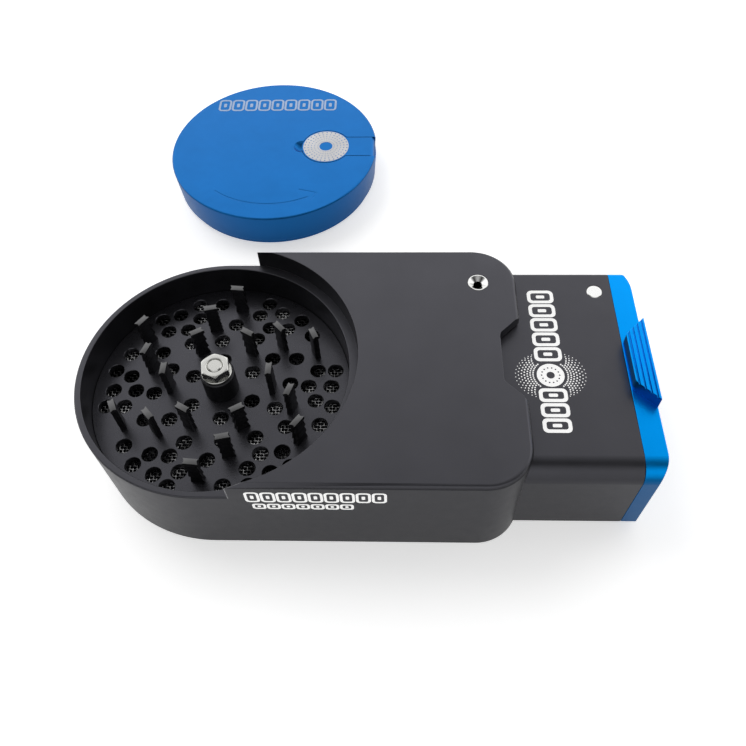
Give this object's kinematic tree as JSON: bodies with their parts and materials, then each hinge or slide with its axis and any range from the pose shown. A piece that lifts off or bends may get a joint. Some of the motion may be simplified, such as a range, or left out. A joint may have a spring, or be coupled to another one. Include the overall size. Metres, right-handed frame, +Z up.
{
  "type": "hand herb grinder",
  "caption": "Pocket hand grinder: a toothed bowl with a drilled floor and sieve, a lift-off crank lid, and a drawer that slides out below.",
  "frame": {"origin": "centre of the base plate's underside, on the bowl's axis, where the housing rests on the table", "axes": "+X runs from the bowl to the drawer's face, +Y away from the user's side, +Z up"},
  "size_m": [0.1273, 0.1525, 0.0278],
  "materials": {
    "black_anodised": "satin black anodised aluminium, fine blasted grain",
    "tooth_black": "machined black anodised aluminium, bare on the teeth's tips",
    "lid_blue": "satin mid-blue anodised aluminium",
    "drawer_blue": "bright blue anodised aluminium",
    "steel": "bright zinc-plated steel",
    "nickel": "nickel-plated magnet",
    "mesh_steel": "woven stainless wire"
  },
  "bodies": {
    "base": {"housing": "black_anodised", "base_plate": "black_anodised", "base_screw_1": "steel", "base_screw_2": "steel", "base_screw_3": "steel", "base_screw_4": "steel", "base_screw_5": "steel", "grinding_plate": "tooth_black", "sieve_screen": "mesh_steel", "sieve_ring": "black_anodised", "centre_post": "tooth_black", "centre_bolt": "steel", "post_washer": "steel", "hex_nut": "steel", "roof_eyelet": "steel"},
    "drawer": {"drawer_body": "black_anodised", "drawer_face": "drawer_blue", "drawer_magnet": "nickel", "face_screw_1": "steel", "face_screw_2": "steel"},
    "lid_carrier": {"pivot_ball": "steel"},
    "lid_guide": {"guide_ring": "lid_blue"},
    "lid": {"lid_shell": "lid_blue", "lid_magnet": "nickel"},
    "crank": {"crank": "lid_blue", "crank_pin": "steel"}
  },
  "joints": [
    {"name": "drawer_slide", "type": "slide", "parent": "base", "child": "drawer", "axis": [1, 0, 0], "range_m": [-0.0275, 0.045]},
    {"name": "lid_over", "type": "hinge", "parent": "base", "child": "lid_carrier", "pos_m": [0.00176, 0.04738, 0.0264], "axis": [0.9993, -0.0372, 0], "range_deg": [0, 205.89]},
    {"name": "lid_level", "type": "hinge", "parent": "lid_carrier", "child": "lid_guide", "pos_m": [0.00335, 0.09, 0.0057], "axis": [0.9993, -0.0372, 0], "range_deg": [-206.39, 0.5]},
    {"name": "lid_spin", "type": "hinge", "parent": "lid_guide", "child": "lid", "pos_m": [0.00335, 0.09, 0.0057], "axis": [0, 0, 1], "continuous": true},
    {"name": "crank_flip", "type": "hinge", "parent": "lid", "child": "crank", "pos_m": [0.03235, 0.09, 0.0097], "axis": [0, 1, 0], "range_deg": [0, 180]}
  ],
  "couplings": [
    {"joint": "lid_level", "follows": "lid_over", "ratio": -1}
  ]
}
